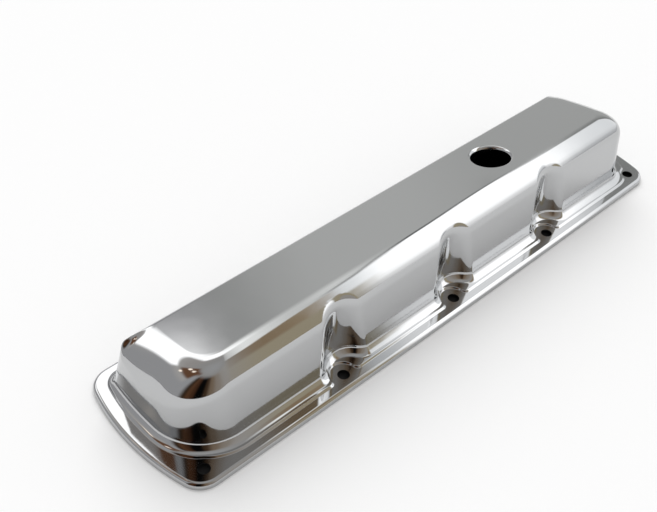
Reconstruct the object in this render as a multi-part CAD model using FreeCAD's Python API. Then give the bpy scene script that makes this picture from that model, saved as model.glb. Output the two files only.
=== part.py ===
import FreeCAD, Part
import math
import os

from FreeCAD import Vector

# Engine valve cover: one pressed steel sheet, chrome plated.
# Millimetres. X runs along the cover, Y across it and Z up. The bolted rim rests on Z = 0.
# The origin is the middle of the base. The near long side is at -Y and the far one at +Y.

SHEET = 1.2

# Flange and its down-turned rim
COVER_LENGTH = 524.0
COVER_WIDTH = 128.0
FLANGE_END_RADIUS = 189.0
FLANGE_CORNER = 18.0
FLANGE_SIDE_BOW = 1.5
FLANGE_HEIGHT = 5.0
RIM_BEND_RADIUS = 3.0

# Raised pad that carries the dome, one small step above the flange and a margin inside its outline
PAD_END_CLEARANCE = 10.8
PAD_SIDE_CLEARANCE = 9.3
PAD_LENGTH = COVER_LENGTH - 2 * PAD_END_CLEARANCE
PAD_WIDTH = COVER_WIDTH - 2 * PAD_SIDE_CLEARANCE
PAD_END_RADIUS = 190.0
PAD_STEP = 1.2
PAD_MARGIN = 6.0

# Dome: each foot is the strip of pad outside it, before the fillet, and each reach runs from the middle to
# where that drafted wall would meet the pad
LEFT_FOOT = 5.2
RIGHT_FOOT = 11.2
NEAR_FOOT = 7.7
FAR_FOOT = 5.3
LEFT_REACH = PAD_LENGTH / 2 - LEFT_FOOT
RIGHT_REACH = PAD_LENGTH / 2 - RIGHT_FOOT
NEAR_REACH = PAD_WIDTH / 2 - NEAR_FOOT
FAR_REACH = PAD_WIDTH / 2 - FAR_FOOT
DOME_END_RADIUS = 300.0
NEAR_LEFT_CORNER = 40.0
NEAR_RIGHT_CORNER = 25.0
FAR_RIGHT_CORNER = 25.0
FAR_LEFT_CORNER = 8.0
ROLL_CORNER_SHARE = 0.8
FLAT_CORNER_SHARE = 0.42
LEFT_END_FILL = 0.6
NEAR_DRAFT = 7.0
FAR_DRAFT = 17.6
END_DRAFT = 4.0
TOP_HEIGHT = 61.8
TOP_SLOPE = 8.9
NEAR_ROLL = 17.4
FAR_ROLL = 6.2
LEFT_ROLL = 28.0
RIGHT_ROLL = 24.0
FOOT_FILLET = 7.0
ROLL_STEPS = 6

# Bolts: five in the near long side and four in the far one, each in from the cover's outline
BOLT_PITCH = 117.5
BOLT_EDGE = 12.0
END_BOLT_EDGE_X = 22.2
END_BOLT_EDGE_Y = 14.1
BOLT_ROW_Y = COVER_WIDTH / 2 - BOLT_EDGE
END_BOLT_X = COVER_LENGTH / 2 - END_BOLT_EDGE_X
END_BOLT_Y = COVER_WIDTH / 2 - END_BOLT_EDGE_Y
BOLT_HOLE = 9.0
BOSS_RADIUS = 10.7
END_BOSS_MARGIN = 1.5

# Notches in the walls, which clear the bolts. Their middles stand a little to the right of them.
NOTCH_RADIUS = 21.0
NOTCH_DEPTH = 17.2
NOTCH_BACK_Y = BOLT_ROW_Y - NOTCH_DEPTH
NOTCH_SHIFT = 5.0
NOTCH_DRAFT = 2.0
NOTCH_EDGE = 3.7

# Filler hole with its collar drawn inwards
FILLER_X = 98.3
FILLER_Y = 3.0
FILLER_BORE = 31.75
COLLAR_DEPTH = 5.0
COLLAR_BEND = 1.5

BELOW = 2.0
ABOVE = 2 * TOP_HEIGHT
CORNER_STEPS = 6
END_STEPS = 10
LEVEL = 0.05
PAD_TOP = FLANGE_HEIGHT + PAD_STEP

# The four corners in the order in which an outline runs
CORNERS = (("left", "near"), ("right", "near"), ("right", "far"), ("left", "far"))
SIGN = {"left": -1, "right": 1, "near": -1, "far": 1}
DOME_CORNERS = (NEAR_LEFT_CORNER, NEAR_RIGHT_CORNER, FAR_RIGHT_CORNER, FAR_LEFT_CORNER)


def tan_deg(angle):
    return math.tan(math.radians(angle))


def top_height(y):
    """Height of the sloping top's outer face over a line at y."""
    return TOP_HEIGHT - tan_deg(TOP_SLOPE) * y


def circle_meet(centre_a, radius_a, centre_b, radius_b):
    """The point where two circles in the XY plane cross, on the left of the line from a to b."""
    line = centre_b - centre_a
    gap = line.Length
    along = (radius_a ** 2 - radius_b ** 2 + gap ** 2) / (2 * gap)
    away = math.sqrt(radius_a ** 2 - along ** 2)
    unit = line / gap
    return centre_a + unit * along + Vector(-unit.y, unit.x, 0) * away


def arc_points(centre, start, end, count):
    """Points along the shorter arc about centre, both ends included."""
    radius = (start - centre).Length
    first = math.atan2(start.y - centre.y, start.x - centre.x)
    turn = math.atan2(end.y - centre.y, end.x - centre.x) - first
    turn = (turn + math.pi) % (2 * math.pi) - math.pi
    points = []
    for step in range(count + 1):
        angle = first + turn * step / count
        points.append(centre + Vector(math.cos(angle), math.sin(angle), 0) * radius)
    return points


class Corner:
    """One rounded corner between a long side at y and an end, whose arc is furthest out at x."""

    def __init__(self, x, y, end_radius, corner_radius, side_bow=0.0):
        sign_x = math.copysign(1, x)
        sign_y = math.copysign(1, y)
        length = abs(x)
        width = abs(y)
        end_centre = Vector(length - end_radius, 0, 0)
        if side_bow:
            side_radius = (length ** 2 + side_bow ** 2) / (2 * side_bow)
            side_centre = Vector(0, width - side_radius, 0)
            centre = circle_meet(
                end_centre, end_radius - corner_radius, side_centre, side_radius - corner_radius)
            on_side = centre + (centre - side_centre).normalize() * corner_radius
        else:
            rise = width - corner_radius
            reach = math.sqrt((end_radius - corner_radius) ** 2 - rise ** 2)
            centre = Vector(end_centre.x + reach, rise, 0)
            on_side = centre + Vector(0, corner_radius, 0)
        on_end = centre + (centre - end_centre).normalize() * corner_radius
        self.centre, self.on_side, self.on_end, self.end_centre = (
            Vector(p.x * sign_x, p.y * sign_y, 0) for p in (centre, on_side, on_end, end_centre))


def flat_outline(length, width, end_radius, corner_radii, side_bow=0.0, z=0.0):
    """A closed wire in a level plane. corner_radii follow the order of CORNERS."""
    lift = Vector(0, 0, z)
    edges = []
    corners = [
        Corner(length / 2 * SIGN[end], width / 2 * SIGN[side], end_radius, radius, side_bow)
        for (end, side), radius in zip(CORNERS, corner_radii)
    ]
    for index, corner in enumerate(corners):
        after = corners[(index + 1) % 4]
        turn_start, turn_end = (corner.on_end, corner.on_side)
        along_side = index % 2 == 0
        if not along_side:
            turn_start, turn_end = turn_end, turn_start
        turn = arc_points(corner.centre, turn_start, turn_end, 2)
        edges.append(Part.Arc(*(p + lift for p in turn)).toShape())
        if along_side and side_bow:
            middle = Vector(0, math.copysign(width / 2, corner.centre.y), 0)
            run = (corner.on_side, middle, after.on_side)
        elif along_side:
            run = (corner.on_side, after.on_side)
        else:
            run = arc_points(corner.end_centre, corner.on_end, after.on_end, 2)
        run = [p + lift for p in run]
        edges.append(Part.Arc(*run).toShape() if len(run) == 3 else Part.makeLine(*run))
    return Part.Wire(edges)


def ring(reach, height, corner_share, inset):
    """A closed wire round the dome. Each side has its own reach from the middle and its own height.

    height[side] gives Z over any y. In a corner the height passes smoothly from one side's to the other's.
    """
    edges = []
    corners = [
        Corner(reach[end] * SIGN[end], reach[side] * SIGN[side], DOME_END_RADIUS, radius * corner_share - inset)
        for (end, side), radius in zip(CORNERS, DOME_CORNERS)
    ]

    def raised(point, side):
        return Vector(point.x, point.y, height[side](point.y))

    for index, (end, side) in enumerate(CORNERS):
        corner = corners[index]
        after = corners[(index + 1) % 4]
        along_side = index % 2 == 0
        first, last = (end, side) if along_side else (side, end)
        start, finish = (corner.on_end, corner.on_side) if along_side else (corner.on_side, corner.on_end)
        points = arc_points(corner.centre, start, finish, CORNER_STEPS)
        lifted = []
        for step, point in enumerate(points):
            share = step / CORNER_STEPS
            share = share * share * (3 - 2 * share)
            z = (1 - share) * height[first](point.y) + share * height[last](point.y)
            lifted.append(Vector(point.x, point.y, z))
        curve = Part.BSplineCurve()
        curve.interpolate(lifted)
        edges.append(curve.toShape())
        if along_side:
            edges.append(Part.makeLine(raised(corner.on_side, side), raised(after.on_side, side)))
        else:
            run = arc_points(corner.end_centre, corner.on_end, after.on_end, END_STEPS)
            curve = Part.BSplineCurve()
            curve.interpolate([raised(p, end) for p in run])
            edges.append(curve.toShape())
    return Part.Wire(edges)


class Section:
    """Wall and roll of one side of the dome, in w, measured inwards from the foot, and z."""

    def __init__(self, foot, draft, roll, outward_slope, inset):
        self.foot = foot
        self.draft = draft
        self.inset = inset
        self.radius = roll - inset
        slope = math.atan(outward_slope)
        top_inset = inset / math.cos(math.radians(TOP_SLOPE))
        crest = TOP_HEIGHT - top_inset + outward_slope * foot
        lean = math.radians(draft)
        # Centre of the roll: one radius inside the wall line and one radius under the top line
        shift = inset / math.cos(lean) + self.radius / math.cos(lean)
        drop = self.radius / math.cos(slope)
        self.centre_z = (crest - drop - outward_slope * (shift - PAD_TOP * math.tan(lean))) / (
            1 + outward_slope * math.tan(lean))
        self.centre_w = shift + (self.centre_z - PAD_TOP) * math.tan(lean)
        self.start = math.pi - lean
        self.stop = math.pi / 2 - slope

    def wall_reach(self, z):
        lean = math.radians(self.draft)
        return self.foot - (z - PAD_TOP) * math.tan(lean) - self.inset / math.cos(lean)

    def on_roll(self, share):
        """Reach and height at a share of the roll, from the wall, 0, to the top, 1."""
        angle = self.start + (self.stop - self.start) * share
        w = self.centre_w + self.radius * math.cos(angle)
        z = self.centre_z + self.radius * math.sin(angle)
        return self.foot - w, z


def sloping(z, own_y):
    """Height over any y of a line that keeps the top's slope and is at z over own_y."""
    return lambda y: z - tan_deg(TOP_SLOPE) * (y - own_y)


def filled(left, far):
    """Height of the left end, which rises towards the far side's height as it nears the square far corner."""
    def height(y):
        share = min(max(y / (FAR_REACH - FAR_LEFT_CORNER), 0), 1)
        share = LEFT_END_FILL * share * share * (3 - 2 * share)
        return (1 - share) * left(y) + share * far(y)
    return height


def dome(inset):
    """The dome as a closed solid, with every wall and the top moved inwards by inset.

    It reaches a little below the pad, so that it joins the pad when the two are fused.
    """
    slope = tan_deg(TOP_SLOPE)
    sections = {
        "near": Section(NEAR_REACH, NEAR_DRAFT, NEAR_ROLL, slope, inset),
        "far": Section(FAR_REACH, FAR_DRAFT, FAR_ROLL, -slope, inset),
        "left": Section(LEFT_REACH, END_DRAFT, LEFT_ROLL, 0, inset),
        "right": Section(RIGHT_REACH, END_DRAFT, RIGHT_ROLL, 0, inset),
    }
    base = PAD_TOP - inset - BELOW
    foot = ring(
        {side: section.wall_reach(base) for side, section in sections.items()},
        {side: (lambda y: base) for side in sections},
        1.0, inset)
    rings = []
    for step in range(ROLL_STEPS + 1):
        share = step / ROLL_STEPS
        reach = {}
        height = {}
        for side, section in sections.items():
            reach[side], z = section.on_roll(share)
            own_y = {"near": -reach[side], "far": reach[side]}.get(side, 0)
            height[side] = sloping(z, own_y)
        height["left"] = filled(height["left"], height["far"])
        # The corner closes in with the roll, as a quarter turn does
        turn = 1 - math.cos(share * math.pi / 2)
        corner_share = ROLL_CORNER_SHARE + (FLAT_CORNER_SHARE - ROLL_CORNER_SHARE) * turn
        rings.append(ring(reach, height, corner_share, inset))
    faces = [Part.Face(foot), Part.Face(rings[-1])]
    faces += Part.makeLoft([foot, rings[0]], False, True).Faces
    faces += Part.makeLoft(rings, False, False).Faces
    shell = Part.makeShell(faces)
    shell.sewShape()
    return Part.makeSolid(shell)


def mid_bolts():
    """Bolt places along the two long sides, away from the corners."""
    return [(x, side) for x in (-BOLT_PITCH, 0.0, BOLT_PITCH) for side in (-1, 1)]


def corner_bolts():
    """Bolt places in the corners. The squarer far left corner of the dome leaves no room for one."""
    return [(-END_BOLT_X, -END_BOLT_Y), (END_BOLT_X, -END_BOLT_Y), (END_BOLT_X, END_BOLT_Y)]


def with_notches(shape, inset):
    """Cut the bolt notches, which lean a little with the press, and round their edges."""
    base_radius = NOTCH_RADIUS + inset
    top_radius = base_radius - ABOVE * tan_deg(NOTCH_DRAFT)
    foot = shape.BoundBox.ZMin
    for x, side in mid_bolts():
        centre = Vector(x + NOTCH_SHIFT, side * (NOTCH_BACK_Y + NOTCH_RADIUS), PAD_TOP)
        low = foot - PAD_TOP - BELOW
        cutter = Part.makeCone(
            base_radius - low * tan_deg(NOTCH_DRAFT), top_radius, ABOVE - low, centre + Vector(0, 0, low))
        shape = shape.cut(cutter)
    edges = []
    for face in shape.Faces:
        if isinstance(face.Surface, Part.Cone):
            edges += [edge for edge in face.Edges if edge.CenterOfMass.z > foot + BELOW]
    return shape.makeFillet(NOTCH_EDGE - inset, edges)


def body(inset):
    """The whole cover as a solid block, with every face moved inwards by inset."""
    pad_top = PAD_TOP - inset
    flange_top = FLANGE_HEIGHT - inset
    lowest = -inset

    # Dome on a wide slab at pad height, with the foot filleted all round
    slab = Part.makeBox(2 * COVER_LENGTH, 2 * COVER_WIDTH, pad_top - lowest)
    slab.translate(Vector(-COVER_LENGTH, -COVER_WIDTH, lowest))
    shape = with_notches(dome(inset), inset).fuse(slab).removeSplitter()
    foot = []
    for edge in shape.Edges:
        box = edge.BoundBox
        if abs(box.ZMin - pad_top) < LEVEL and abs(box.ZMax - pad_top) < LEVEL and box.XMax < COVER_LENGTH / 2:
            if box.XMin > -COVER_LENGTH / 2 and box.YMax < COVER_WIDTH / 2 and box.YMin > -COVER_WIDTH / 2:
                foot.append(edge)
    shape = shape.makeFillet(FOOT_FILLET + inset, foot)

    # The step: everything outside the pad, and round each bolt, drops to the flange
    rise = FOOT_FILLET + PAD_STEP
    pad = Part.Face(flat_outline(
        PAD_LENGTH - 2 * inset, PAD_WIDTH - 2 * inset, PAD_END_RADIUS - inset,
        [radius + PAD_MARGIN - inset for radius in DOME_CORNERS], z=flange_top)).extrude(Vector(0, 0, rise))
    around = Part.makeBox(2 * COVER_LENGTH, 2 * COVER_WIDTH, rise)
    around.translate(Vector(-COVER_LENGTH, -COVER_WIDTH, flange_top))
    around = around.cut(pad)
    bosses = [
        Part.makeCylinder(BOSS_RADIUS + inset, rise, Vector(x, side * BOLT_ROW_Y, flange_top))
        for x, side in mid_bolts()
    ]
    bosses += [
        Part.makeCylinder(BOLT_HOLE / 2 + END_BOSS_MARGIN + inset, rise, Vector(x, y, flange_top))
        for x, y in corner_bolts()
    ]
    shape = shape.cut([around] + bosses)

    # Rim outline, with the bend where the flange turns down
    rim = Part.Face(flat_outline(
        COVER_LENGTH - 2 * inset, COVER_WIDTH - 2 * inset, FLANGE_END_RADIUS - inset,
        [FLANGE_CORNER - inset] * len(CORNERS), FLANGE_SIDE_BOW, z=lowest)).extrude(Vector(0, 0, ABOVE))
    shape = shape.common(rim).removeSplitter()
    bend = []
    for edge in shape.Edges:
        box = edge.BoundBox
        middle = edge.valueAt((edge.FirstParameter + edge.LastParameter) / 2)
        outside = abs(middle.y) > PAD_WIDTH / 2 + LEVEL or abs(middle.x) > PAD_LENGTH / 2 + LEVEL
        if abs(box.ZMin - flange_top) < LEVEL and abs(box.ZMax - flange_top) < LEVEL and outside:
            bend.append(edge)
    return shape.makeFillet(RIM_BEND_RADIUS - inset, bend)


def filler_axis():
    """Centre of the filler hole on the top's outer face, and the direction square to that face."""
    lean = math.radians(TOP_SLOPE)
    return Vector(FILLER_X, FILLER_Y, top_height(FILLER_Y)), Vector(0, math.sin(lean), math.cos(lean))


def collar():
    """The rolled-in lip of the filler hole, turned about Z with the top's outer face at Z = 0."""
    bore = FILLER_BORE / 2
    outer_bend = COLLAR_BEND + SHEET
    rim = bore + outer_bend
    lean = math.sqrt(0.5)
    centre = Vector(rim, 0, -outer_bend)

    def bend_point(radius, x, z):
        return centre + Vector(x * radius, 0, z * radius)

    upper = Part.Arc(
        Vector(rim, 0, 0), bend_point(outer_bend, -lean, lean), Vector(bore, 0, -outer_bend))
    lower = Part.Arc(
        Vector(bore + SHEET, 0, -outer_bend), bend_point(COLLAR_BEND, -lean, lean), Vector(rim, 0, -SHEET))
    straights = [
        (Vector(bore, 0, -outer_bend), Vector(bore, 0, -COLLAR_DEPTH)),
        (Vector(bore, 0, -COLLAR_DEPTH), Vector(bore + SHEET, 0, -COLLAR_DEPTH)),
        (Vector(bore + SHEET, 0, -COLLAR_DEPTH), Vector(bore + SHEET, 0, -outer_bend)),
    ]
    edges = [upper.toShape()] + [Part.makeLine(*pair) for pair in straights]
    edges += [lower.toShape(), Part.makeLine(Vector(rim, 0, -SHEET), Vector(rim, 0, 0))]
    return rim, Part.Face(Part.Wire(edges)).revolve(Vector(0, 0, 0), Vector(0, 0, 1), 360)


def valve_cover():
    cover = body(0).cut(body(SHEET))
    for x, y in [(x, side * BOLT_ROW_Y) for x, side in mid_bolts()] + corner_bolts():
        cover = cover.cut(Part.makeCylinder(BOLT_HOLE / 2, FLANGE_HEIGHT + BELOW, Vector(x, y, -SHEET)))
    rim, lip = collar()
    centre, axis = filler_axis()
    lip.rotate(Vector(0, 0, 0), Vector(1, 0, 0), -TOP_SLOPE)
    lip.translate(centre)
    punch = 2 * SHEET
    hole = Part.makeCylinder(rim, 2 * punch, centre - axis * punch, axis)
    return cover.cut(hole).fuse(lip).removeSplitter().Solids[0]


os.makedirs("parts", exist_ok=True)
cover = valve_cover()
print("valve_cover: valid", cover.isValid(), "volume", round(cover.Volume), "mm3, faces", len(cover.Faces))
cover.exportStep("parts/valve_cover.step")
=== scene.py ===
import math

import bpy
import numpy as np
from mathutils import Matrix, Vector
from mathutils.geometry import delaunay_2d_cdt


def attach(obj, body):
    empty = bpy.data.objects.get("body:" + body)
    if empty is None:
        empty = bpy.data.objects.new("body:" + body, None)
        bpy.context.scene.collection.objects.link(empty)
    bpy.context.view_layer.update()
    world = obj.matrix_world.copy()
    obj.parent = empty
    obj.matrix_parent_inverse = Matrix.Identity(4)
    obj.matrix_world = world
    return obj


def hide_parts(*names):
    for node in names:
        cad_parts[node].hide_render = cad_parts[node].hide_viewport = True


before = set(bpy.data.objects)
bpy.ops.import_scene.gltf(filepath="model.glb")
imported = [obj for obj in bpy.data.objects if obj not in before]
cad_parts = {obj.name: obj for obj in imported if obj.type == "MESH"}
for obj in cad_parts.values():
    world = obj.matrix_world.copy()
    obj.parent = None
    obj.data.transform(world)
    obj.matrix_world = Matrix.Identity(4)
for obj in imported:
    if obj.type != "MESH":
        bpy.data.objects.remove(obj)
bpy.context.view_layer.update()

# Sizes, in millimetres, as in the part, but for the notches' eased edge, which is half a millimetre wider, and
# the length, width and height, which are a hair under, to stay in the part's box.
SHEET = 1.2
COVER_LENGTH, COVER_WIDTH = 523.98, 127.88
FLANGE_END_RADIUS, FLANGE_CORNER, FLANGE_SIDE_BOW = 189.0, 18.0, 1.5
FLANGE_HEIGHT, RIM_BEND_RADIUS = 5.0, 3.0
PAD_LENGTH, PAD_WIDTH, PAD_END_RADIUS = 502.4, 109.4, 190.0
PAD_STEP, PAD_MARGIN = 1.2, 6.0
LEFT_REACH, RIGHT_REACH, NEAR_REACH, FAR_REACH = 246.0, 240.0, 47.0, 49.4
DOME_END_RADIUS = 300.0
DOME_CORNERS = (40.0, 25.0, 25.0, 8.0)
ROLL_CORNER_SHARE, FLAT_CORNER_SHARE, LEFT_END_FILL = 0.8, 0.42, 0.6
NEAR_DRAFT, FAR_DRAFT, END_DRAFT = 7.0, 17.6, 4.0
TOP_HEIGHT, TOP_SLOPE = 61.79, 8.9
NEAR_ROLL, FAR_ROLL, LEFT_ROLL, RIGHT_ROLL = 17.4, 6.2, 28.0, 24.0
FOOT_FILLET = 7.0
BOLT_PITCH, BOLT_ROW_Y, END_BOLT_X, END_BOLT_Y = 117.5, 52.0, 239.8, 49.9
BOLT_HOLE, BOSS_RADIUS, END_BOSS_RADIUS = 9.0, 10.7, 6.0
NOTCH_RADIUS, NOTCH_BACK_Y, NOTCH_SHIFT, NOTCH_DRAFT, NOTCH_EDGE = 21.0, 34.8, 5.0, 2.0, 4.2
FILLER_X, FILLER_Y, FILLER_BORE = 98.3, 3.0, 31.75
COLLAR_DEPTH, COLLAR_BEND = 5.0, 1.5
PAD_TOP = FLANGE_HEIGHT + PAD_STEP
SLOPE = math.tan(math.radians(TOP_SLOPE))
CORNERS = (("left", "near"), ("right", "near"), ("right", "far"), ("left", "far"))
SIGN = {"left": -1, "right": 1, "near": -1, "far": 1}
ORDER = ("near", "right", "far", "left")
ROW_BOLTS = (-BOLT_PITCH, 0.0, BOLT_PITCH)
END_BOLTS = [(-END_BOLT_X, -END_BOLT_Y), (END_BOLT_X, -END_BOLT_Y), (END_BOLT_X, END_BOLT_Y)]
BOLTS = [(x, s * BOLT_ROW_Y) for x in ROW_BOLTS for s in (-1, 1)] + END_BOLTS
LEAN = math.radians(TOP_SLOPE)
AXIS = np.array([0.0, math.sin(LEAN), math.cos(LEAN)])
ACROSS = np.array([0.0, math.cos(LEAN), -math.sin(LEAN)])

# Half the width over which the pad's step falls, and the rounding where the step goes round a bolt
STEP_SOFT = 0.9
PAD_ROUND = 4.0
# The eased edge of the collar's lip, and the radius at which the collar leaves the top
COLLAR_LIP = 0.25
COLLAR_RIM = FILLER_BORE / 2 + COLLAR_BEND + SHEET

# Fineness of the mesh. For each face of the sheet: its inset, the shortest step along a side, the columns at
# a corner and at an end, the rows of roll, wall, fillet, pad and step, and the rim's columns along a side,
# a corner and an end, with its rows over the bend.
SKINS = ((0.0, 0.75, 26, 26, (20, 22, 11, 2, 7), (60, 14, 40, 8)),
         (SHEET, 1.8, 12, 14, (9, 9, 5, 1, 3), (60, 14, 40, 5)))
# Places between a corner and the first of the places that the two long sides share
RUN_IN = 5
HOLE_SIDES, FILLER_SIDES = 40, 96
LIP_ROWS, UNDER_LIP_ROWS = 9, 6
MERGES_PER_MM = 2000
TRIES = 40

# Each long side is searched outwards from this line inside the dome. What the grid has within the half width
# of the middle stays as it is.
CORE_Y, CORE_HALF_WIDTH, CORE_TOP = 18.0, 20.0, 34.0
OUTSIDE = 1e3


def smooth(t):
    return t * t * (3 - 2 * t)


def bisect(inside, low, high):
    """The least place between low and high that isn't inside, for each point."""
    for _ in range(TRIES):
        middle = (low + high) / 2
        held = inside(middle)
        low = np.where(held, middle, low)
        high = np.where(held, high, middle)
    return high


# Outlines
def corner_of(x, y, end_radius, radius, bow=0.0):
    """Centre of a rounded corner, its tangent points on the side and on the end, and the end's centre."""
    sx, sy = math.copysign(1, x), math.copysign(1, y)
    length, width = abs(x), abs(y)
    e = np.array([length - end_radius, 0.0])
    if bow:
        side_radius = (length ** 2 + bow ** 2) / (2 * bow)
        s = np.array([0.0, width - side_radius])
        line = s - e
        gap = np.hypot(*line)
        ra, rb = end_radius - radius, side_radius - radius
        along = (ra ** 2 - rb ** 2 + gap ** 2) / (2 * gap)
        away = math.sqrt(ra ** 2 - along ** 2)
        u = line / gap
        c = e + u * along + np.array([-u[1], u[0]]) * away
        on_side = c + (c - s) / np.hypot(*(c - s)) * radius
    else:
        rise = width - radius
        c = np.array([e[0] + math.sqrt((end_radius - radius) ** 2 - rise ** 2), rise])
        on_side = c + np.array([0.0, radius])
    on_end = c + (c - e) / np.hypot(*(c - e)) * radius
    f = np.array([sx, sy])
    return c * f, on_side * f, on_end * f, e * f


def arc(centre, start, end, shares):
    """Points at the given shares of the shorter arc from start to end."""
    r = np.hypot(*(start - centre))
    a = math.atan2(start[1] - centre[1], start[0] - centre[0])
    turn = math.atan2(end[1] - centre[1], end[0] - centre[0]) - a
    turn = (turn + math.pi) % (2 * math.pi) - math.pi
    t = a + turn * np.asarray(shares)
    return np.stack([centre[0] + r * np.cos(t), centre[1] + r * np.sin(t)], 1)


def outline(corners, side_x, n_corner, n_end, bowed=None):
    """Points of an outline, from the near-left corner's end tangent on: corner, side, corner, end and so on.

    side_x(first, last) gives the x places along a long side, without its end. Where the sides are bowed,
    bowed is the outline's length, width and bow.
    """
    parts = []
    for i, (c, on_side, on_end, e) in enumerate(corners):
        after = corners[(i + 1) % 4]
        along_side = i % 2 == 0
        first, last = (on_end, on_side) if along_side else (on_side, on_end)
        parts.append(arc(c, first, last, np.linspace(0, 1, n_corner + 1)[:-1]))
        if along_side:
            xs = side_x(on_side[0], after[1][0])
            if bowed:
                length, width, bow = bowed
                rad = ((length / 2) ** 2 + bow ** 2) / (2 * bow)
                ys = math.copysign(1, on_side[1]) * (width / 2 - rad + np.sqrt(rad ** 2 - xs ** 2))
            else:
                ys = np.full(len(xs), on_side[1])
            parts.append(np.stack([xs, ys], 1))
        else:
            parts.append(arc(e, on_end, after[2], np.linspace(0, 1, n_end + 1)[:-1]))
    return np.concatenate(parts)


def box_corners(length, width, end_radius, radii, bow=0.0):
    """The four corners of an outline that is length by width."""
    return [corner_of(length / 2 * SIGN[a], width / 2 * SIGN[b], end_radius, r, bow)
            for (a, b), r in zip(CORNERS, radii)]


def outline_distance(x, y, corners, width, end_radius):
    """Signed distance to a rounded outline, below zero inside."""
    out = np.full(x.shape, -OUTSIDE)
    for (a, b), (c, on_side, on_end, e) in zip(CORNERS, corners):
        sx, sy = SIGN[a], SIGN[b]
        here = (x * sx >= 0) & (y * sy >= 0)
        px, py = x * sx, y * sy
        cx, cy, ex = c[0] * sx, c[1] * sy, e[0] * sx
        r = np.hypot(*(on_side - c))
        d_side = py - width / 2
        d_end = np.hypot(px - ex, py) - end_radius
        in_corner = (px > cx) & ((cx - ex) * py - cy * (px - ex) > 0)
        d = np.where(in_corner, np.hypot(px - cx, py - cy) - r, np.maximum(d_side, d_end))
        out = np.where(here, d, out)
    return out


def round_max(a, b, r):
    """Largest of two distances, with the convex edge between them rounded."""
    u = np.maximum(a + r, 0)
    v = np.maximum(b + r, 0)
    return np.minimum(np.maximum(a, b), -r) + np.hypot(u, v)


# The dome's section, as in the part
class Section:
    """One side's section: a drafted wall, the roll over it and the top, reckoned inwards from the foot."""

    def __init__(self, foot, draft, roll, outward_slope, inset):
        self.foot, self.lean, self.inset = foot, math.radians(draft), inset
        self.radius = roll - inset
        slope = math.atan(outward_slope)
        crest = TOP_HEIGHT - inset / math.cos(math.radians(TOP_SLOPE)) + outward_slope * foot
        shift = (inset + self.radius) / math.cos(self.lean)
        drop = self.radius / math.cos(slope)
        t = math.tan(self.lean)
        self.centre_z = (crest - drop - outward_slope * (shift - PAD_TOP * t)) / (1 + outward_slope * t)
        self.centre_w = shift + (self.centre_z - PAD_TOP) * t
        self.start, self.stop = math.pi - self.lean, math.pi / 2 - slope

    def wall_reach(self, z):
        return self.foot - (z - PAD_TOP) * math.tan(self.lean) - self.inset / math.cos(self.lean)

    def on_roll(self, share):
        a = self.start + (self.stop - self.start) * share
        reach = self.foot - self.centre_w - self.radius * math.cos(a)
        return reach, self.centre_z + self.radius * math.sin(a)

    def distance(self, reach, z):
        """Signed distance to the wall, the roll and the top in this side's section."""
        w = self.foot - reach
        n_wall = (math.cos(self.start), math.sin(self.start))
        n_top = (math.cos(self.stop), math.sin(self.stop))
        dw, dz = w - self.centre_w, z - self.centre_z
        d_wall = dw * n_wall[0] + dz * n_wall[1] - self.radius
        d_top = dw * n_top[0] + dz * n_top[1] - self.radius
        beyond_wall = n_wall[0] * dz - n_wall[1] * dw < 0
        before_top = n_top[0] * dz - n_top[1] * dw > 0
        on_roll = beyond_wall & before_top
        return np.where(on_roll, np.hypot(dw, dz) - self.radius, np.maximum(d_wall, d_top))


def side_places(inset, fine):
    """x places along a long side: close together where a notch turns, far apart on the straight runs."""
    half, step, margin, straight_step = 190.0, 0.1, 7.0, 6 * fine
    xs = np.arange(-half, half + step / 10, step)
    y = np.full(xs.shape, NEAR_REACH)
    turning = np.zeros(xs.shape, bool)
    for xn in ROW_BOLTS:
        d = np.clip((NOTCH_RADIUS ** 2 - (xs - xn - NOTCH_SHIFT) ** 2), 0, None)
        y = np.minimum(y, np.where(d > 0, NOTCH_BACK_Y + NOTCH_RADIUS - np.sqrt(d), NEAR_REACH))
        turning |= np.abs(xs - xn - NOTCH_SHIFT) < NOTCH_RADIUS + margin
    length = np.hypot(step, np.gradient(y, step) * step)
    total = np.cumsum(np.where(turning, length / fine, step / straight_step))
    count = int(total[-1])
    return np.interp(np.linspace(total[0], total[-1], count + 1), total, xs)


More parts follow.
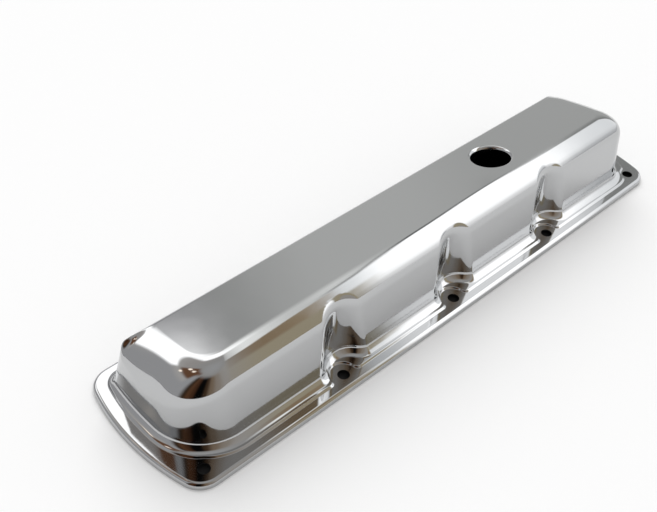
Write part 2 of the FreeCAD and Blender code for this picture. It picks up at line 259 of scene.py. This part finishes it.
class Surface:
    """One face of the sheet: the outer one at inset 0, the inner one at an inset of the sheet's thickness."""

    def __init__(self, inset, fine, n_corner, n_end, rows):
        self.inset = inset
        self.sections = {
            "near": Section(NEAR_REACH, NEAR_DRAFT, NEAR_ROLL, SLOPE, inset),
            "far": Section(FAR_REACH, FAR_DRAFT, FAR_ROLL, -SLOPE, inset),
            "left": Section(LEFT_REACH, END_DRAFT, LEFT_ROLL, 0, inset),
            "right": Section(RIGHT_REACH, END_DRAFT, RIGHT_ROLL, 0, inset)}
        self.pad_z, self.flange_z = PAD_TOP - inset, FLANGE_HEIGHT - inset
        self.middle = side_places(inset, fine)
        self.n_corner, self.n_end, self.rows = n_corner, n_end, rows
        self.pad = box_corners(PAD_LENGTH - 2 * inset, PAD_WIDTH - 2 * inset, PAD_END_RADIUS - inset,
                               [r + PAD_MARGIN - inset for r in DOME_CORNERS])

    def side_x(self, first, last):
        """x places from a corner on, through the notches and up to the next corner."""
        sign = 1 if last > first else -1
        mid = self.middle[::sign]
        ends = np.linspace(0, 1, RUN_IN + 2)[1:-1]
        head = first + (mid[0] - first) * np.concatenate([[0], ends])
        tail = mid[-1] + (last - mid[-1]) * ends
        return np.concatenate([head, mid, tail])

    def ring(self, reach, corner_share):
        """One ring of the dome without notches. Its corners shrink by corner_share."""
        corners = []
        for (a, b), r in zip(CORNERS, DOME_CORNERS):
            radius = r * corner_share - self.inset
            corners.append(corner_of(reach[a] * SIGN[a], reach[b] * SIGN[b], DOME_END_RADIUS, radius))
        return outline(corners, self.side_x, self.n_corner, self.n_end)

    def sides(self):
        """For each column, the shares of near, right, far and left that set its height."""
        n_side = len(self.middle) + 2 * RUN_IN + 1
        share = smooth(np.linspace(0, 1, self.n_corner + 1)[:-1])
        shares = []
        for last in range(4):
            block = np.zeros((self.n_corner, 4))
            block[:, last - 1] = 1 - share
            block[:, last] = share
            shares.append(block)
            run = np.zeros((n_side if last % 2 == 0 else self.n_end, 4))
            run[:, last] = 1
            shares.append(run)
        return np.concatenate(shares)

    def height(self, xy, zs, reach):
        """Height of a ring's points. Each side's own height follows the top's slope."""
        own = {"near": -reach["near"], "right": 0.0, "far": reach["far"], "left": 0.0}
        near, right, far, left = [zs[side] - SLOPE * (xy[:, 1] - own[side]) for side in ORDER]
        # The left end rises towards the far side's height as it nears the square far corner
        fill = LEFT_END_FILL * smooth(np.clip(xy[:, 1] / (FAR_REACH - DOME_CORNERS[3]), 0, 1))
        left = (1 - fill) * left + fill * far
        return (self.shares * np.column_stack([near, right, far, left])).sum(1)

    def notch(self, x, y, z):
        """Signed distance to the nearest notch cutter, below zero inside it."""
        best = np.full(np.shape(x), OUTSIDE)
        draft = math.radians(NOTCH_DRAFT)
        radius = NOTCH_RADIUS + self.inset - (z - PAD_TOP) * math.tan(draft)
        for xn in ROW_BOLTS:
            d = np.hypot(x - xn - NOTCH_SHIFT, np.abs(y) - NOTCH_BACK_Y - NOTCH_RADIUS)
            best = np.minimum(best, (d - radius) * math.cos(draft))
        return best

    def body(self, x, y, z):
        """Signed distance to a long side with its notches, below zero inside the dome."""
        near = self.sections["near"].distance(-y, z)
        far = self.sections["far"].distance(y, z)
        return round_max(np.where(y < 0, near, far), -self.notch(x, y, z), NOTCH_EDGE - self.inset)

    def pad_distance(self, x, y):
        """Signed distance to the pad's outline, which goes round every bolt, below zero inside."""
        d = outline_distance(x, y, self.pad, PAD_WIDTH - 2 * self.inset, PAD_END_RADIUS - self.inset)
        for xn in ROW_BOLTS:
            boss = BOSS_RADIUS + self.inset - np.hypot(x - xn, np.abs(y) - BOLT_ROW_Y)
            d = round_max(d, boss, PAD_ROUND)
        for xe, ye in END_BOLTS:
            boss = END_BOSS_RADIUS + self.inset - np.hypot(x - xe, y - ye)
            d = round_max(d, boss, PAD_ROUND)
        return d

    def build(self):
        """The grid from the flat of the top down to the flat of the flange, and its normals."""
        n_roll, n_wall, n_fillet, n_pad, n_step = self.rows
        self.shares = self.sides()
        sec = self.sections
        lean = self.shares @ np.array([sec[k].lean for k in ORDER])
        fillet = FOOT_FILLET + self.inset
        base = self.pad_z
        foot = self.ring({k: sec[k].wall_reach(base) for k in ORDER}, 1.0)
        rings = []
        for share in np.linspace(1, 0, n_roll + 1):
            reach, zs = {}, {}
            for k in ORDER:
                reach[k], zs[k] = sec[k].on_roll(share)
            turn = 1 - math.cos(share * math.pi / 2)
            xy = self.ring(reach, ROLL_CORNER_SHARE + (FLAT_CORNER_SHARE - ROLL_CORNER_SHARE) * turn)
            rings.append(np.column_stack([xy, self.height(xy, zs, reach)]))
        start = rings[-1]
        # Wall rows, ruled from the start of the roll down to the top of the foot fillet
        top_of_fillet = base + fillet * (1 - np.sin(lean))
        for share in np.linspace(0, 1, n_wall + 1)[1:]:
            z = start[:, 2] + (top_of_fillet - start[:, 2]) * share
            f = (z - base) / (start[:, 2] - base)
            rings.append(np.column_stack([foot + (start[:, :2] - foot) * f[:, None], z]))
        grid = np.array(rings)
        # The two long sides take their notches
        side = self.shares[:, 0] + self.shares[:, 2] == 1
        x, y, z = grid[:, side, 0], grid[:, side, 1], grid[:, side, 2]
        sy = np.sign(y)
        origin_y, origin_z = sy * CORE_Y, np.minimum(z, CORE_TOP)

        def in_dome(t):
            return self.body(x, origin_y + (y - origin_y) * t, origin_z + (z - origin_z) * t) < 0

        in_core = np.abs(y) <= CORE_HALF_WIDTH
        t = np.where(in_core, 1.0, bisect(in_dome, np.zeros(x.shape), np.ones(x.shape)))
        grid[:, side, 1] = origin_y + (y - origin_y) * t
        grid[:, side, 2] = origin_z + (z - origin_z) * t
        # Foot curve on the pad's plane, with its outward direction
        fx, fy = foot[:, 0].copy(), foot[:, 1].copy()
        s_y = np.sign(fy[side])

        def in_foot(reach):
            return self.body(fx[side], s_y * reach, np.full(reach.shape, base)) < 0

        fy[side] = s_y * bisect(in_foot, np.full(side.sum(), CORE_Y), np.abs(fy[side]))
        ahead = np.stack([np.roll(fx, -1) - np.roll(fx, 1), np.roll(fy, -1) - np.roll(fy, 1)], 1)
        normal = np.stack([ahead[:, 1], -ahead[:, 0]], 1)
        normal /= np.hypot(normal[:, 0], normal[:, 1])[:, None]
        e = 0.01
        gx = self.body(fx[side] + e, fy[side], base) - self.body(fx[side] - e, fy[side], base)
        gy = self.body(fx[side], fy[side] + e, base) - self.body(fx[side], fy[side] - e, base)
        gz = self.body(fx[side], fy[side], base + e) - self.body(fx[side], fy[side], base - e)
        flat = np.hypot(gx, gy)
        normal[side] = np.stack([gx / flat, gy / flat], 1)
        lean[side] = np.arctan(gz / flat)

        def pad_at(run):
            return self.pad_distance(fx + normal[:, 0] * run, fy + normal[:, 1] * run)

        # Lengths along the outward direction to where the step starts and to where it meets the flange
        nowhere, furthest = np.zeros(len(fx)), np.full(len(fx), 40.0)
        full = bisect(lambda run: pad_at(run) < STEP_SOFT, nowhere, furthest)
        step_at = bisect(lambda run: pad_at(run) < -STEP_SOFT, nowhere, full)
        tangent = fillet * np.tan((math.pi / 2 - lean) / 2)
        runs = []
        last_angle = np.arccos(np.clip((tangent - step_at) / fillet, 0, 1))
        for k in range(1, n_fillet + 1):
            a = lean + (last_angle - lean) * k / n_fillet
            runs.append(tangent - fillet * np.cos(a))
        fillet_end = runs[-1]
        step_start = np.maximum(step_at, fillet_end)
        runs += [fillet_end + (step_start - fillet_end) * k / n_pad for k in range(1, n_pad + 1)]
        runs += [step_start + (full - step_start) * k / n_step for k in range(1, n_step + 1)]
        rows = []
        for run in runs:
            px, py = fx + normal[:, 0] * run, fy + normal[:, 1] * run
            c = np.clip((tangent - run) / fillet, 0, 1)
            pz = base + fillet - fillet * np.sqrt(1 - c * c)
            mask = smooth(np.clip((STEP_SOFT - self.pad_distance(px, py)) / (2 * STEP_SOFT), 0, 1))
            rows.append(np.column_stack([px, py, self.flange_z + mask * (pz - self.flange_z)]))
        grid = np.concatenate([grid, np.array(rows)])
        self.grid = grid
        along = np.roll(grid, -1, axis=1) - np.roll(grid, 1, axis=1)
        down = np.gradient(grid, axis=0)
        n = np.cross(along, down)
        n /= np.maximum(np.linalg.norm(n, axis=2), 1e-12)[:, :, None]
        if n[0, 0, 2] < 0:
            n = -n
        n[0] = AXIS
        n[-1] = (0, 0, 1)
        self.normals = n
        return self

    def rim(self, n_side, n_corner, n_end, n_bend):
        """Rows from the flat of the flange over the bend and down to the ground, and their normals."""
        rows, normals = [], []

        def side_x(first, last):
            return np.linspace(first, last, n_side + 1)[:-1]

        bend = RIM_BEND_RADIUS - self.inset
        turns = [(b, self.flange_z) for b in np.linspace(0, math.pi / 2, n_bend + 1)] + [(math.pi / 2, 0.0)]
        for k, (b, z) in enumerate(turns):
            extra = self.inset + bend * (1 - math.sin(b))
            length, width = COVER_LENGTH - 2 * extra, COVER_WIDTH - 2 * extra
            corners = box_corners(length, width, FLANGE_END_RADIUS - extra, [FLANGE_CORNER - extra] * 4,
                                  FLANGE_SIDE_BOW)
            xy = outline(corners, side_x, n_corner, n_end, (length, width, FLANGE_SIDE_BOW))
            height = 0.0 if k == len(turns) - 1 else z - bend * (1 - math.cos(b))
            rows.append(np.column_stack([xy, np.full(len(xy), height)]))
            ahead = np.roll(xy, -1, 0) - np.roll(xy, 1, 0)
            out = np.stack([ahead[:, 1], -ahead[:, 0]], 1)
            out /= np.hypot(out[:, 0], out[:, 1])[:, None]
            normals.append(np.column_stack([out * math.sin(b), np.full(len(xy), math.cos(b))]))
        return np.array(rows), np.array(normals)


# Collecting faces into one closed mesh
class Sheet:
    """Points, faces and the normals at their corners. Points that fall together become one."""

    def __init__(self):
        self.index, self.points, self.faces, self.corner_normals, self.inner = {}, [], [], [], []

    def vertex(self, p):
        key = tuple(round(v * MERGES_PER_MM) for v in p)
        if key not in self.index:
            self.index[key] = len(self.points)
            self.points.append(p)
        return self.index[key]

    def add(self, points, normals, faces, inner=False):
        ids = [self.vertex(p) for p in points]
        for face in faces:
            named = [ids[i] for i in face]
            if len(set(named)) < 3:
                continue
            keep = [k for k in range(len(named)) if named[k] != named[k - 1]]
            self.faces.append([named[k] for k in keep])
            self.corner_normals += [normals[face[k]] for k in keep]
            self.inner.append(inner)

    def grid(self, rows, normals, flip, inner=False):
        """A band of quads through the rows, each row closed on itself."""
        n_rows, n_cols = rows.shape[:2]
        pts = rows.reshape(-1, 3).tolist()
        nrm = normals.reshape(-1, 3).tolist()
        faces = []
        for r in range(n_rows - 1):
            for c in range(n_cols):
                d = (c + 1) % n_cols
                q = [r * n_cols + c, (r + 1) * n_cols + c, (r + 1) * n_cols + d, r * n_cols + d]
                faces.append(q[::-1] if flip else q)
        self.add(pts, nrm, faces, inner)

    def plane(self, outer, holes, normal, lift, flip, inner=False):
        """A flat face inside the outer loop and outside the holes. lift(x, y) gives its height."""
        loops = [np.asarray(outer)[:, :2]] + [np.asarray(h)[:, :2] for h in holes]
        exact = [tuple(p) for loop in loops for p in loop.tolist()]
        flat = [Vector(p) for p in exact]
        edges, at = [], 0
        for loop in loops:
            n = len(loop)
            edges += [(at + k, at + (k + 1) % n) for k in range(n)]
            at += n
        verts, _, tris, source, _, _ = delaunay_2d_cdt(flat, edges, [], 0, 1e-7)
        middles = np.array([[sum(verts[i][k] for i in t) / 3 for k in (0, 1)] for t in tris])
        good = inside_loop(middles, loops[0])
        for hole in loops[1:]:
            good &= ~inside_loop(middles, hole)
        keep = []
        for t, ok in zip(tris, good):
            if ok:
                a, b, c = (verts[i] for i in t)
                up = (b - a).cross(c - a) > 0
                keep.append(list(t) if up != flip else list(t)[::-1])
        places = [exact[made_from[0]] if made_from else tuple(v) for v, made_from in zip(verts, source)]
        pts = [(v[0], v[1], float(lift(v[0], v[1]))) for v in places]
        self.add(pts, [normal] * len(pts), keep, inner)


def inside_loop(points, loop):
    """Whether each point lies inside the closed loop, by the crossings to its right."""
    x, y = points[:, 0][:, None], points[:, 1][:, None]
    ax, ay = loop[:, 0][None], loop[:, 1][None]
    bx, by = np.roll(loop[:, 0], -1)[None], np.roll(loop[:, 1], -1)[None]
    cross = (ay > y) != (by > y)
    with np.errstate(divide="ignore", invalid="ignore"):
        at = ax + (y - ay) * (bx - ax) / (by - ay)
    return (cross & (x < at)).sum(1) % 2 == 1


def circle(x, y, r, n):
    a = np.arange(n) * 2 * math.pi / n
    return np.stack([x + r * np.cos(a), y + r * np.sin(a)], 1)


def filler_ring(radius, depth):
    """A circle about the filler hole's axis, at a depth below the top's outer face."""
    a = np.arange(FILLER_SIDES) * 2 * math.pi / FILLER_SIDES
    middle = np.array([FILLER_X, FILLER_Y, TOP_HEIGHT - SLOPE * FILLER_Y]) - AXIS * depth
    return middle + radius * (np.cos(a)[:, None] * np.array([1.0, 0, 0]) + np.sin(a)[:, None] * ACROSS)


def cover_mesh():
    """The whole pressed sheet: both faces with their rims, the ground edge, the bolt holes and the collar."""
    sheet = Sheet()
    for inset, fine, n_corner, n_end, rows, rim in SKINS:
        inner = inset > 0
        s = Surface(inset, fine, n_corner, n_end, rows).build()
        sheet.grid(s.grid, s.normals * (-1 if inner else 1), inner, inner)
        rim_rows, rim_normals = s.rim(*rim)
        sheet.grid(rim_rows, rim_normals * (-1 if inner else 1), inner, inner)
        up = -1.0 if inner else 1.0
        sheet.plane(rim_rows[0], [s.grid[-1]] + [circle(x, y, BOLT_HOLE / 2, HOLE_SIDES) for x, y in BOLTS],
                    (0, 0, up), lambda x, y, z=s.flange_z: z, inner, inner)
        drop = inset / math.cos(LEAN)
        sheet.plane(s.grid[0], [filler_ring(COLLAR_RIM, inset)], tuple(AXIS * up),
                    lambda x, y, d=drop: TOP_HEIGHT - d - SLOPE * y, inner, inner)
        if inner:
            sheet.plane(outer_rim[-1], [rim_rows[-1]], (0, 0, -1), lambda x, y: 0.0, True)
        else:
            outer_rim = rim_rows
    # Walls of the bolt holes
    a = np.arange(HOLE_SIDES) * 2 * math.pi / HOLE_SIDES
    inward = np.stack([-np.cos(a), -np.sin(a), np.zeros(HOLE_SIDES)], 1)
    for x, y in BOLTS:
        loop = circle(x, y, BOLT_HOLE / 2, HOLE_SIDES)
        rows = np.array([np.column_stack([loop, np.full(HOLE_SIDES, z)])
                         for z in (FLANGE_HEIGHT, FLANGE_HEIGHT - SHEET)])
        sheet.grid(rows, np.array([inward, inward]), True)
    # Collar of the filler hole, turned from the top's outer face down and back up to its inner face
    bore, bend = FILLER_BORE / 2, COLLAR_BEND + SHEET
    profile = [(COLLAR_RIM - bend * math.sin(t), bend * (1 - math.cos(t)), -math.sin(t), math.cos(t))
               for t in np.linspace(0, math.pi / 2, LIP_ROWS)]
    edge = COLLAR_DEPTH - COLLAR_LIP
    profile += [(bore, edge, -1, 0), (bore + COLLAR_LIP, COLLAR_DEPTH, 0, -1),
                (bore + SHEET - COLLAR_LIP, COLLAR_DEPTH, 0, -1), (bore + SHEET, edge, 1, 0)]
    profile += [(COLLAR_RIM - COLLAR_BEND * math.sin(t), bend - COLLAR_BEND * math.cos(t),
                 math.sin(t), -math.cos(t)) for t in np.linspace(math.pi / 2, 0, UNDER_LIP_ROWS)]
    rows = np.array([filler_ring(r, d) for r, d, _, _ in profile])
    a = np.arange(FILLER_SIDES) * 2 * math.pi / FILLER_SIDES
    out = np.cos(a)[:, None] * np.array([1.0, 0, 0]) + np.sin(a)[:, None] * ACROSS
    normals = np.array([out * nr + AXIS * na for _, _, nr, na in profile])
    sheet.grid(rows, normals, True)
    return sheet


def add_object(name, data):
    placed = bpy.data.objects.new(name, data)
    bpy.context.scene.collection.objects.link(placed)
    return placed


sheet = cover_mesh()
mesh = bpy.data.meshes.new("valve_cover_skin")
mesh.from_pydata([(p[0] / 1000, p[1] / 1000, p[2] / 1000) for p in sheet.points], [], sheet.faces)
mesh.update()
mesh.polygons.foreach_set("use_smooth", [True] * len(mesh.polygons))
mesh.polygons.foreach_set("material_index", [1 if i else 0 for i in sheet.inner])
mesh.normals_split_custom_set([Vector(n).normalized() for n in sheet.corner_normals])
cover = add_object("valve_cover_skin", mesh)


# Materials. The plating's darkest tint is this share of its colour.
DULLEST = 0.985


def material(name):
    m = bpy.data.materials.new(name)
    m.use_nodes = True
    tree = m.node_tree
    return m, tree, tree.nodes["Principled BSDF"]


def noise(tree, coords, scale, detail):
    node = tree.nodes.new("ShaderNodeTexNoise")
    node.inputs["Scale"].default_value = scale
    node.inputs["Detail"].default_value = detail
    tree.links.new(coords.outputs["Object"], node.inputs["Vector"])
    return node.outputs["Fac"]


def chrome(name, rough_low, rough_high, wave, colour):
    """Plated metal: a faint change of tint, a haze that varies its gloss, and a slow waviness."""
    m, tree, shader = material(name)
    shader.inputs["Metallic"].default_value = 1.0
    coords = tree.nodes.new("ShaderNodeTexCoord")
    tint = tree.nodes.new("ShaderNodeValToRGB")
    tint.color_ramp.elements[0].color = (*[c * DULLEST for c in colour], 1)
    tint.color_ramp.elements[1].color = (*colour, 1)
    tree.links.new(noise(tree, coords, 9.0, 3.0), tint.inputs["Fac"])
    tree.links.new(tint.outputs["Color"], shader.inputs["Base Color"])
    spread = tree.nodes.new("ShaderNodeMapRange")
    spread.inputs["From Min"].default_value = 0.35
    spread.inputs["From Max"].default_value = 0.75
    spread.inputs["To Min"].default_value = rough_low
    spread.inputs["To Max"].default_value = rough_high
    tree.links.new(noise(tree, coords, 34.0, 5.0), spread.inputs["Value"])
    tree.links.new(spread.outputs["Result"], shader.inputs["Roughness"])
    swell = tree.nodes.new("ShaderNodeBump")
    swell.inputs["Distance"].default_value = wave
    swell.inputs["Strength"].default_value = 1.0
    tree.links.new(noise(tree, coords, 42.0, 1.0), swell.inputs["Height"])
    tree.links.new(swell.outputs["Normal"], shader.inputs["Normal"])
    return m


mesh.materials.append(chrome("chrome_plate_bright", 0.05, 0.11, 0.00004, (0.50, 0.505, 0.51)))
mesh.materials.append(chrome("chrome_plate_inside", 0.30, 0.42, 0.00010, (0.42, 0.415, 0.40)))
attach(cover, "root")
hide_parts("valve_cover")

# Camera, fitted to the photograph
FOCAL_PIXELS, PHOTO_WIDTH, SENSOR_WIDTH = 1000.0, 657.0, 36.0
CAMERA_PLACE = (-0.466873, -0.366151, 0.529900)
CAMERA_RIGHT = (0.72128, -0.69109, 0.04639)
CAMERA_UP = (0.43372, 0.50286, 0.74768)
CAMERA_BACK = (-0.54004, -0.51916, 0.66244)
camera_data = bpy.data.cameras.new("photo_camera")
camera_data.sensor_width = SENSOR_WIDTH
camera_data.lens = SENSOR_WIDTH * FOCAL_PIXELS / PHOTO_WIDTH
camera = add_object("photo_camera", camera_data)
turn = Matrix((CAMERA_RIGHT, CAMERA_UP, CAMERA_BACK)).transposed()
camera.matrix_world = Matrix.Translation(CAMERA_PLACE) @ turn.to_4x4()
bpy.context.scene.camera = camera


# Studio: floor, world and key light, with a glowing dome of painted reflections and a dark card of painted
# shade
WORLD_LEVEL = 0.66
FLOOR_LEVEL = 0.8
# Brightness of the painted softbox highlights on the dome of painted reflections
PAINTED_SOFTBOX_HIGHLIGHT = 2.2
# Radius of the dome of painted reflections, and its step in degrees
PAINTED_DOME_RADIUS, PAINTED_DOME_STEP = 3.2, 1.5
FLOOR_HALF = 15.0
# Margin and height of the dark card of painted shade under the cover
SHADE_CARD_MARGIN, SHADE_CARD_HEIGHT = 4.0, 0.0003


def eased(x, places, values):
    """Smoothly joined steps: values at places, with an ease in and out between them."""
    x = np.clip(x, places[0], places[-1])
    k = np.clip(np.searchsorted(places, x, side="right") - 1, 0, len(places) - 2)
    places, values = np.asarray(places, float), np.asarray(values, float)
    t = smooth((x - places[k]) / (places[k + 1] - places[k]))
    if values.ndim > 1:
        t = t[:, None]
    return values[k] * (1 - t) + values[k + 1] * t


def patch(x, low, high, soft):
    """1 between low and high, falling to 0 over soft on both sides."""
    return smooth(np.clip((x - low + soft) / soft, 0, 1)) * smooth(np.clip((high + soft - x) / soft, 0, 1))


def blended(tone, other, share):
    """The tones with a share of another, by direction."""
    share = share[:, None]
    return tone * (1 - share) + np.asarray(other) * share


def painted_right_reflections(x, over):
    """Painted reflections for the right half: a grey wall behind, a painted dark edge, then painted softbox
    highlights overhead and in front.
    """
    edge = eased(x, [0.36, 0.45, 0.50, 0.60, 0.68, 0.74, 1.0], [95, 86, 83, 58, 46, 66, 66])
    wall = eased(x, [0.36, 0.40, 0.45, 0.50, 0.60, 0.70, 1.0], [0.46, 0.50, 0.62, 0.70, 0.70, 0.62, 0.60])
    high_wall = eased(x, [0.30, 0.37, 0.41, 0.45, 0.50, 0.60, 0.72, 0.735, 0.765],
                      [2.1, 1.9, 1.2, 0.95, 1.15, 0.72, 0.80, 0.80, 0.36])
    tone = blended(wall[:, None], high_wall[:, None], np.clip((over - 37) / 22, 0, 1))
    tone = tone * np.array([0.99, 1.0, 0.98])
    # Painted softbox highlights in front, dimmer and browner towards the horizon
    front = eased(x, [0.40, 0.465, 0.50, 0.56, 0.72, 0.77],
                  [[0.36, 0.26, 0.16], [0.44, 0.34, 0.22], [1.22, 1.25, 1.27], [PAINTED_SOFTBOX_HIGHLIGHT] * 3, [PAINTED_SOFTBOX_HIGHLIGHT] * 3,
                   [1.3, 1.32, 1.34]])
    front = front * eased(over, [135, 150, 168, 180], [1.0, 0.9, 0.62, 0.50])[:, None]
    warm = patch(x, 0.0, 0.50, 0.05) * eased(over, [120, 136], [0.0, 1.0])
    front = blended(front, [0.50, 0.435, 0.31], warm)
    tone = blended(tone, front, eased(over - edge, [-1.5, 2.5], [0.0, 1.0]))
    # A painted dark band just under the edge, which the chrome shows as a thin dark line
    line = eased(x, [0.47, 0.50, 0.60, 0.70, 0.73], [0.0, 0.6, 0.92, 0.6, 0.0])
    return blended(tone, [0.12] * 3, patch(over - edge, -5.5, -0.5, 4.0) * line)


def painted_left_reflections(azimuth, height):
    """Painted reflections for the left half: grey, with two painted white softbox highlights, a painted dark
    brown patch, and brown to black round the camera.
    """
    turn = np.where(azimuth < 0, azimuth + 360, azimuth)
    tone = eased(height, [30, 44, 56, 70, 84], [[0.49, 0.49, 0.50], [0.60, 0.58, 0.56], [0.50, 0.47, 0.45],
                                                [0.46, 0.45, 0.44], [0.50, 0.50, 0.50]])
    # A painted dark brown patch high on the left
    tone = blended(tone, [0.20, 0.10, 0.055], patch(turn, 126, 172, 9) * patch(height, 52, 68, 7))
    # Painted brown to black reflections round the camera
    brown = eased(turn, [176, 188, 195, 204, 212, 222, 231, 244, 262, 285, 302],
                  [[0.49, 0.49, 0.50], [0.06, 0.035, 0.02], [0.13, 0.06, 0.030], [0.08, 0.035, 0.018],
                   [0.004, 0.004, 0.004], [0.004, 0.004, 0.004], [0.07, 0.040, 0.022], [0.27, 0.20, 0.14],
                   [0.38, 0.33, 0.28], [0.48, 0.45, 0.42], [0.50, 0.48, 0.45]])
    tone = blended(tone, brown, eased(turn, [160, 170], [0.0, 1.0]) * eased(height, [58, 72], [1.0, 0.0]))
    # Two painted white softbox highlights
    tone = blended(tone, [PAINTED_SOFTBOX_HIGHLIGHT] * 3, patch(azimuth, 70, 113, 9) * patch(height, 35, 42, 4.5))
    return blended(tone, [2.1] * 3, patch(azimuth, 48, 74, 8) * patch(height, 46, 57, 4))


def painted_reflection_tone(azimuth, height):
    """What the chrome mirrors, by direction in degrees, all painted: grey walls, large softbox highlights, a
    brown part and three small glints.
    """
    a, e = np.radians(azimuth), np.radians(height)
    x, y, z = np.cos(a) * np.cos(e), np.sin(a) * np.cos(e), np.sin(e)
    right = painted_right_reflections(x, np.degrees(np.arctan2(z, y)))
    tone = blended(painted_left_reflections(azimuth, height), right, eased(x, [0.33, 0.40], [0.0, 1.0]))
    # Three small painted glints
    for glint_azimuth, glint_height in ((127, 60), (133, 47), (141, 64)):
        away = np.hypot((azimuth - glint_azimuth) * np.cos(e), height - glint_height)
        tone = blended(tone, [2.0, 1.75, 1.5], patch(away, -1, 1.8, 1.0))
    return tone


def add_painted_reflection_dome():
    """A glowing dome of painted reflections round the cover, as its chrome mirrors it. The camera and the
    diffuse light don't meet it.
    """
    turns = int(360 / PAINTED_DOME_STEP)
    heights = np.append(np.arange(-PAINTED_DOME_STEP, 90, PAINTED_DOME_STEP), 89.9)
    az = np.tile(np.arange(turns) * PAINTED_DOME_STEP - 180, len(heights))
    el = np.repeat(heights, turns)
    a, e = np.radians(az), np.radians(el)
    points = PAINTED_DOME_RADIUS * np.column_stack([np.cos(a) * np.cos(e), np.sin(a) * np.cos(e), np.sin(e)])
    faces = []
    for low in range(0, (len(heights) - 1) * turns, turns):
        faces += [(low + c, low + (c + 1) % turns, low + turns + (c + 1) % turns, low + turns + c)
                  for c in range(turns)]
    data = bpy.data.meshes.new("painted_reflection_dome")
    data.from_pydata(points.tolist(), [], faces)
    tones = data.color_attributes.new("tone", "FLOAT_COLOR", "POINT")
    rgba = np.column_stack([painted_reflection_tone(az, el), np.ones(len(az))])
    tones.data.foreach_set("color", rgba.ravel())
    painted_dome = add_object("painted_reflection_dome", data)
    m, tree, shader = material("painted_reflection_dome")
    tree.nodes.remove(shader)
    read = tree.nodes.new("ShaderNodeVertexColor")
    read.layer_name = "tone"
    # The dome glows with the painted tones, for glossy reflections only
    glow = tree.nodes.new("ShaderNodeEmission")
    tree.links.new(read.outputs["Color"], glow.inputs["Color"])
    tree.links.new(glow.outputs[0], tree.nodes["Material Output"].inputs[0])
    data.materials.append(m)
    painted_dome.visible_camera = False
    painted_dome.visible_diffuse = False
    painted_dome.visible_shadow = False
    painted_dome.visible_transmission = False


add_painted_reflection_dome()


def shown_directly(tree):
    """1 for camera, glossy and transmission rays, so that metal shows the same background as the camera."""
    path = tree.nodes.new("ShaderNodeLightPath")
    total = path.outputs["Is Camera Ray"]
    for other in ("Is Glossy Ray", "Is Transmission Ray"):
        largest = tree.nodes.new("ShaderNodeMath")
        largest.operation = "MAXIMUM"
        tree.links.new(total, largest.inputs[0])
        tree.links.new(path.outputs[other], largest.inputs[1])
        total = largest.outputs[0]
    return total


def two_tone(tree, hidden, shown):
    """One grey for the light that falls on the object, and another for what is seen."""
    mix = tree.nodes.new("ShaderNodeMix")
    mix.data_type = "RGBA"
    mix.inputs[6].default_value = (hidden, hidden, hidden, 1)
    mix.inputs[7].default_value = (shown, shown, shown, 1)
    tree.links.new(shown_directly(tree), mix.inputs[0])
    return mix.outputs[2]


floor_mesh = bpy.data.meshes.new("studio_floor")
floor_corners = [(x * FLOOR_HALF, y * FLOOR_HALF, 0) for x, y in ((-1, -1), (1, -1), (1, 1), (-1, 1))]
floor_mesh.from_pydata(floor_corners, [], [(0, 1, 2, 3)])
pale, tree, shader = material("pale_floor")
shader.inputs["Roughness"].default_value = 0.9
shader.inputs["Specular IOR Level"].default_value = 0.0
tree.links.new(two_tone(tree, FLOOR_LEVEL, 1.0), shader.inputs["Base Color"])
floor_mesh.materials.append(pale)
add_object("studio_floor", floor_mesh)

# Painted shade: a dark card just under the cover, so that its holes look into the dark
shade_card_corners = box_corners(COVER_LENGTH - 2 * SHADE_CARD_MARGIN, COVER_WIDTH - 2 * SHADE_CARD_MARGIN,
                          FLANGE_END_RADIUS - SHADE_CARD_MARGIN, [FLANGE_CORNER - SHADE_CARD_MARGIN] * 4)
shade_card_line = outline(shade_card_corners, lambda first, last: np.linspace(first, last, 5)[:-1], 6, 12) / 1000
shade_card_mesh = bpy.data.meshes.new("painted_shade_card")
shade_card_mesh.from_pydata([(x, y, SHADE_CARD_HEIGHT) for x, y in shade_card_line], [], [tuple(range(len(shade_card_line)))])
dark, tree, shader = material("painted_shade_card")
shader.inputs["Base Color"].default_value = (0.015, 0.015, 0.016, 1)
shader.inputs["Roughness"].default_value = 0.9
shade_card_mesh.materials.append(dark)
add_object("painted_shade_card", shade_card_mesh)

world = bpy.data.worlds.new("studio_world")
world.use_nodes = True
bpy.context.scene.world = world
tree = world.node_tree
tree.links.new(two_tone(tree, WORLD_LEVEL, 1.0), tree.nodes["Background"].inputs["Color"])

lamp = bpy.data.lights.new("key_light", "SUN")
lamp.energy = 1.5
lamp.angle = math.radians(50)
key = add_object("key_light", lamp)
key.matrix_world = Vector((-0.9, -1.2, -1.4)).to_track_quat("-Z", "Y").to_matrix().to_4x4()
key.visible_glossy = False

bpy.context.scene.view_settings.view_transform = "Standard"
